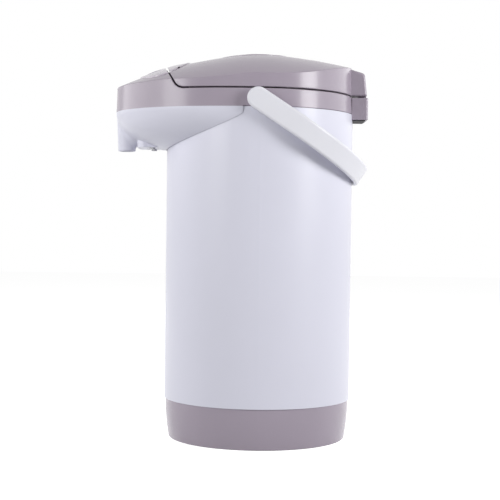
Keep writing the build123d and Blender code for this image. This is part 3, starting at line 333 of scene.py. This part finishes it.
def add_floor():
    half = floor_half
    mesh = bpy.data.meshes.new("floor")
    corners = [(-half, -half, 0), (half, -half, 0), (half, half, 0), (-half, half, 0)]
    mesh.from_pydata(corners, [], [(0, 1, 2, 3)])
    mesh.materials.append(floor_material())
    put(bpy.data.objects.new("floor", mesh))


# --- materials ---
def noise(tree, vector, scale, detail):
    node = plain_shader(tree, "ShaderNodeTexNoise", Scale=scale, Detail=detail)
    link(tree, vector, 0, node, "Vector")
    return node


def remap(tree, node, out, source, target):
    """Maps the span source to the span target, and holds the ends."""
    step = tree.nodes.new("ShaderNodeMapRange")
    step.inputs["From Min"].default_value, step.inputs["From Max"].default_value = source
    step.inputs["To Min"].default_value, step.inputs["To Max"].default_value = target
    link(tree, node, out, step, "Value")
    return step


def surface(name, colour, rough, grain, bump, vary, metal=False, coat=0.0, clear=0.0, soft=0.0,
            shine=0.5):
    """A moulded, painted or brushed surface: colour drift, uneven gloss and fine relief."""
    mat = bpy.data.materials.new(name)
    mat.use_nodes = True
    tree = mat.node_tree
    shader = tree.nodes["Principled BSDF"]
    shader.inputs["Metallic"].default_value = float(metal)
    shader.inputs["Specular IOR Level"].default_value = shine
    shader.inputs["Coat Weight"].default_value = coat
    shader.inputs["Coat Roughness"].default_value = coat_rough
    shader.inputs["Transmission Weight"].default_value = clear
    shader.inputs["Subsurface Weight"].default_value = soft
    shader.inputs["Subsurface Radius"].default_value = soft_reach
    place = tree.nodes.new("ShaderNodeTexCoord")
    plain = tree.nodes.new("ShaderNodeMapping")
    link(tree, place, "Object", plain, "Vector")
    drawn = tree.nodes.new("ShaderNodeMapping")
    drawn.inputs["Scale"].default_value = brushing if metal else (1, 1, 1)
    link(tree, place, "Object", drawn, "Vector")
    broad = noise(tree, plain, drift_scale, drift_detail)
    fine = noise(tree, drawn, grain, grain_detail)
    ramp = tree.nodes.new("ShaderNodeValToRGB")
    low, high = ramp.color_ramp.elements
    low.position, high.position = drift_span
    base = srgb(*colour)[:3]
    low.color = [c * (1 - vary) for c in base] + [1]
    high.color = [min(1, c * (1 + vary)) for c in base] + [1]
    link(tree, broad, 0, ramp, 0)
    link(tree, ramp, 0, shader, "Base Color")
    gloss = (rough * (1 - gloss_spread), rough * (1 + gloss_spread))
    link(tree, remap(tree, fine, 0, (0, 1), gloss), 0, shader, "Roughness")
    lift = plain_shader(tree, "ShaderNodeBump", Strength=bump, Distance=grain_relief)
    link(tree, fine, 0, lift, "Height")
    link(tree, lift, 0, shader, "Normal")
    return mat


def paint_cells(mat, cells, fade, colour, feature, metric):
    """Paints colour on a surface where a cell pattern lies below the fade's end."""
    tree = mat.node_tree
    shader = tree.nodes["Principled BSDF"]
    below = shader.inputs["Base Color"].links[0].from_node
    dots = plain_shader(tree, "ShaderNodeTexVoronoi", Scale=cells)
    dots.feature = feature
    dots.distance = metric
    link(tree, tree.nodes["Texture Coordinate"], "Object", dots, "Vector")
    mixed = plain_shader(tree, "ShaderNodeMixRGB", Color2=srgb(*colour))
    link(tree, remap(tree, dots, "Distance", fade, (1, 0)), 0, mixed, "Fac")
    link(tree, below, 0, mixed, "Color1")
    link(tree, mixed, 0, shader, "Base Color")


def dress(mesh, slot):
    mesh.materials.clear()
    mesh.materials.append(materials[slot])


def add_piece(name, mesh, node, slot):
    """A new piece with the finish of a slot, on the body that carries a node."""
    dress(mesh, slot)
    piece = put(bpy.data.objects.new(name, mesh))
    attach(piece, cad[node]["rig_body"])
    return piece


# --- printed marks: flat shapes, in millimetres, laid on a node's own surface ---
def stroke(points, width, closed=False):
    """Band of quads along a line."""
    points = [Vector(p) for p in points]
    count = len(points)
    corners = []
    for i, point in enumerate(points):
        before = points[i - 1] if i or closed else point
        after = points[(i + 1) % count] if i + 1 < count or closed else point
        along = (after - before).normalized()
        across = Vector((-along.y, along.x)) * width / 2
        corners += [point + across, point - across]
    spans = count if closed else count - 1
    faces = []
    for i in range(spans):
        a, b = 2 * i, 2 * ((i + 1) % count)
        faces.append((a, a + 1, b + 1, b))
    return corners, faces


def arc(radius, start, sweep, steps, centre=(0, 0)):
    turns = [radians(start + sweep * i / steps) for i in range(steps + 1)]
    return [(centre[0] + radius * cos(t), centre[1] + radius * sin(t)) for t in turns]


def ring(radius, centre):
    return stroke(arc(radius, 0, 360, ring_steps, centre)[:-1], ring_width, closed=True)


def filled(outline):
    """Fan of triangles from the outline's middle."""
    outline = [Vector(p) for p in outline]
    middle = sum(outline, Vector((0, 0))) / len(outline)
    count = len(outline)
    return outline + [middle], [(i, (i + 1) % count, count) for i in range(count)]


def moved(shape, dx, dy):
    corners, faces = shape
    return [c + Vector((dx, dy)) for c in corners], faces


def dash(x0, y0, x1, y1, width):
    shares = [i / dash_steps for i in range(dash_steps + 1)]
    return stroke([(x0 + (x1 - x0) * s, y0 + (y1 - y0) * s) for s in shares], width)


def drop_mark():
    """Drop over a cup."""
    tip = [(0, 3.9)]
    belly = arc(1.25, 25, -230, 18, (0, 1.25))
    cup = [(-2.2, -0.9), (-1.7, -3.9), (1.7, -3.9), (2.2, -0.9)]
    sides = [dash(*cup[i], *cup[i + 1], 0.5) for i in range(3)]
    return [filled(tip + belly), *sides]


def reboil_mark():
    """Arrow that goes round."""
    head = [(2.6, 1.5), (1.5, -0.3), (3.7, -0.3)]
    return [stroke(arc(2.5, 20, 300, 30), 0.55), moved(filled(head), -0.1, -0.4)]


def lock_mark():
    """Padlock."""
    case = [(-1.7, 0.1), (-1.7, -2.5), (1.7, -2.5), (1.7, 0.1)]
    bow = [(1.1, 0.0)] + arc(1.1, 0, 180, 16, (0, 0.9)) + [(-1.1, 0.0)]
    return [filled(case), stroke(bow, 0.5)]


def numeral(text):
    """Outline of a plain number, read from Blender's own font."""
    data = bpy.data.curves.new("numeral", "FONT")
    data.body = text
    data.size = numeral_size
    data.align_x, data.align_y = "CENTER", "CENTER"
    writer = put(bpy.data.objects.new("numeral", data))
    bpy.context.view_layer.update()
    written = writer.evaluated_get(bpy.context.evaluated_depsgraph_get())
    mesh = bpy.data.meshes.new_from_object(written)
    corners = [Vector(v.co[:2]) for v in mesh.vertices]
    faces = [tuple(f.vertices) for f in mesh.polygons]
    bpy.data.objects.remove(writer)
    bpy.data.curves.remove(data)
    bpy.data.meshes.remove(mesh)
    return corners, faces


def print_on(name, node, shapes, origin, right, up, slot):
    """Lays flat shapes on a node, looking along the plane's back, as a thin raised print."""
    right, up = Vector(right), Vector(up)
    normal = right.cross(up)
    target = cad[node].data
    tree = BVHTree.FromPolygons(
        [v.co.copy() for v in target.vertices], [tuple(p.vertices) for p in target.polygons]
    )
    build = bmesh.new()
    for corners, faces in shapes:
        spots = []
        for corner in corners:
            offset = (right * corner.x + up * corner.y) / mark_unit
            start = Vector(origin) + offset + normal * print_aim
            spots.append(tree.ray_cast(start, -normal)[0])
        for face in faces:
            if all(spots[i] for i in face):
                build.faces.new([build.verts.new(spots[i] - normal * print_sink) for i in face])
    bmesh.ops.remove_doubles(build, verts=build.verts, dist=print_weld)
    bmesh.ops.recalc_face_normals(build, faces=build.faces)
    top = bmesh.ops.extrude_face_region(build, geom=build.faces[:])
    lifted = [g for g in top["geom"] if isinstance(g, bmesh.types.BMVert)]
    bmesh.ops.translate(build, verts=lifted, vec=normal * (print_height + print_sink))
    bmesh.ops.recalc_face_normals(build, faces=build.faces)
    mesh = bpy.data.meshes.new(name)
    build.to_mesh(mesh)
    build.free()
    add_piece(name, mesh, node, slot)


def along_panel():
    """Right and up on the panel, square to the way its buttons go in."""
    right = Vector((1, 0, 0))
    up = right.cross(Vector(joint_called("dispense_button_press")["axis"]).normalized())
    return right, up if up.y > 0 else -up


def add_button_marks():
    right, up = along_panel()
    marks = {
        "dispense_button": drop_mark(),
        "reboil_button": reboil_mark(),
        "lock_button": lock_mark(),
    }
    for node, shapes in marks.items():
        print_on(node + "_mark", node, shapes, middle_of(node), right, up, "white_plastic")


def add_panel_rings():
    """Thin printed rings round the buttons."""
    right, up = along_panel()
    centre = middle_of("dispense_button")
    shapes = []
    for node in ("dispense_button", "reboil_button", "lock_button"):
        low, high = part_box(node)
        offset = middle_of(node) - centre
        at = (offset.dot(right) * mark_unit, offset.dot(up) * mark_unit)
        shapes.append(ring((high.x - low.x) / 2 * mark_unit + ring_gap, at))
    print_on("button_rings", "control_panel", shapes, centre, right, up, "button_plastic")


def add_level_scale():
    """Ticks and numbers for half and whole litres on the level window."""
    low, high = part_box("level_window")
    pot_low, pot_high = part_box("inner_pot")
    bore = (pot_high.x - pot_low.x) / 2 - pot_flange_width
    rise = litre / (pi * bore**2)
    pot_floor = pot_low.z + pot_port_length
    middle = (low.z + high.z) / 2
    shapes = []
    for half_litres in range(1, last_half_litre + 1):
        at = (pot_floor + rise * half_litres / 2 - middle) * mark_unit
        whole = half_litres % 2 == 0
        tick, width = (whole_tick, whole_width) if whole else (half_tick, half_width)
        shapes.append(dash(scale_right - tick, at, scale_right, at, width))
        if whole:
            shapes.append(moved(numeral(str(half_litres // 2)), -numeral_left, at))
    print_on("level_scale", "level_window", shapes, (0, low.y, middle), (1, 0, 0), (0, 0, 1),
             "cap_plastic")


def add_pump_parts():
    """Own copies of the bellows and the spring, which the press plate squeezes, shown in place of
    their nodes.
    """
    pump = joint_called("press_plate_pump")
    for squeezed in pump["deforming_nodes"]:
        node, foot = squeezed["node"], squeezed["fixed_end_z_m"]
        piece = add_piece(node + "_squeezed", cad[node].data.copy(), node, slot_of[node])
        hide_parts(node)
        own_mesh(piece)


# --- the scene ---
bpy.context.scene.view_settings.view_transform = "Standard"
add_camera()
add_world()
add_floor()
for name, box in soft_boxes.items():
    add_upright(name, *box)
for name, box in back_boxes.items():
    add_upright(name, *box).visible_glossy = False
add_area("top_box", *top_box)

materials = {name: surface(name, **finish) for name, finish in finishes.items()}
for name, *cells in patterns:
    paint_cells(materials[name], *cells)
for node, slot in slot_of.items():
    dress(cad[node].data, slot)
add_button_marks()
add_panel_rings()
add_level_scale()
add_pump_parts()
